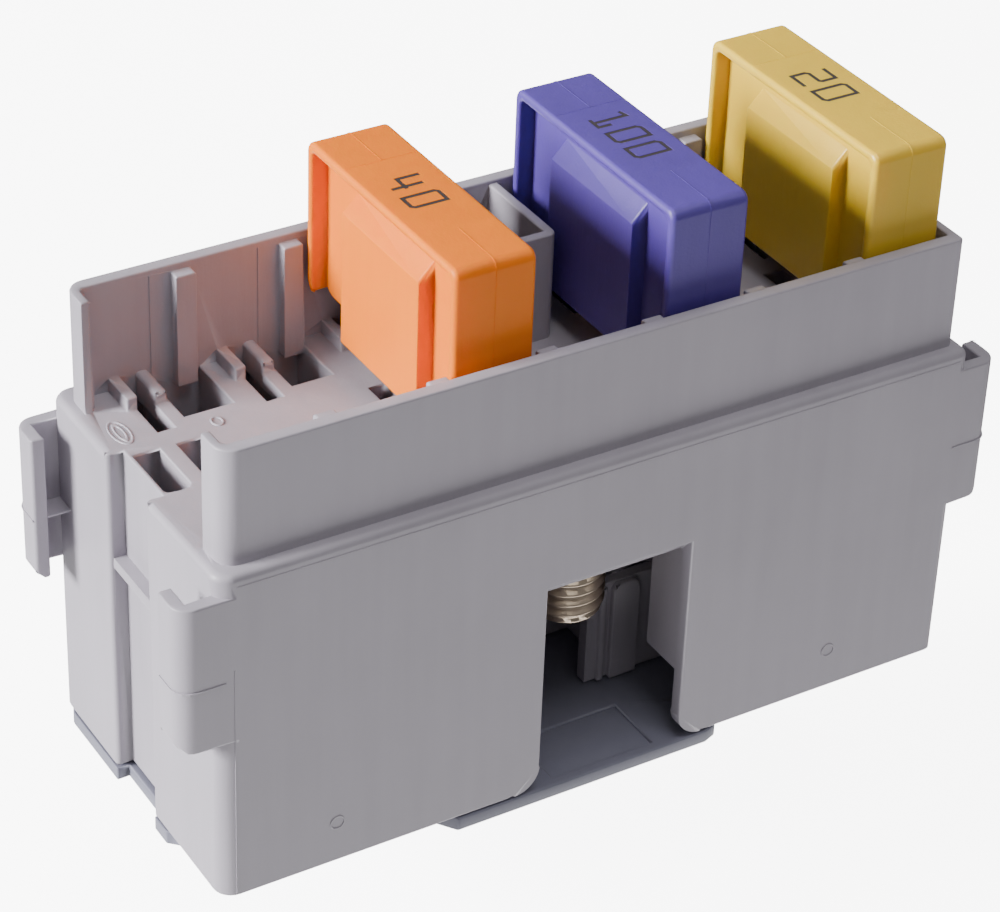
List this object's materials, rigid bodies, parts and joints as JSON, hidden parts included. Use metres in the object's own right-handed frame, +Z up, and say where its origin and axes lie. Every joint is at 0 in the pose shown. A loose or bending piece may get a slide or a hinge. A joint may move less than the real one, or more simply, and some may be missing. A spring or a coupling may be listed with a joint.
{
  "type": "fuse holder",
  "caption": "Row holder for large blade fuses: grey moulded housing with hook rails, cable window, supply stud, busbar and clip-on bottom cover.",
  "frame": {"origin": "middle of the footprint, on the underside of the bottom cover", "axes": "+Z up, out of the fuses' tops; +X along the row of fuses; the cable window faces -Y"},
  "size_m": [0.0948, 0.037, 0.0639],
  "materials": {
    "housing_nylon": "fine matte moulded nylon",
    "cover_nylon": "fine matte moulded nylon",
    "stud_steel": "nickel-plated, rolled thread",
    "tinned_copper": "dull tin plate on copper alloy",
    "fuse_metal": "bright zinc alloy",
    "fuse_orange": "fine texture, faintly translucent",
    "fuse_violet": "fine texture, faintly translucent",
    "fuse_yellow": "fine texture, translucent"
  },
  "bodies": {
    "holder": {"housing": "housing_nylon", "supply_stud": "stud_steel", "busbar": "tinned_copper", "feed_contact_1": "tinned_copper", "feed_contact_2": "tinned_copper", "feed_contact_3": "tinned_copper", "feed_contact_4": "tinned_copper", "feed_contact_5": "tinned_copper", "feed_contact_6": "tinned_copper"},
    "cover": {"bottom_cover": "cover_nylon"},
    "fuse_40": {"fuse_body_40": "fuse_orange", "fuse_element_40": "fuse_metal"},
    "fuse_100": {"fuse_body_100": "fuse_violet", "fuse_element_100": "fuse_metal"},
    "fuse_20": {"fuse_body_20": "fuse_yellow", "fuse_element_20": "fuse_metal"}
  },
  "joints": [
    {"name": "draw_fuse_40", "type": "slide", "parent": "holder", "child": "fuse_40", "axis": [0, 0, 1], "range_m": [0, 0.03]},
    {"name": "draw_fuse_100", "type": "slide", "parent": "holder", "child": "fuse_100", "axis": [0, 0, 1], "range_m": [0, 0.03]},
    {"name": "draw_fuse_20", "type": "slide", "parent": "holder", "child": "fuse_20", "axis": [0, 0, 1], "range_m": [0, 0.03]},
    {"name": "unclip_cover", "type": "slide", "parent": "holder", "child": "cover", "axis": [0, 0, -1], "range_m": [0, 0.02]}
  ]
}
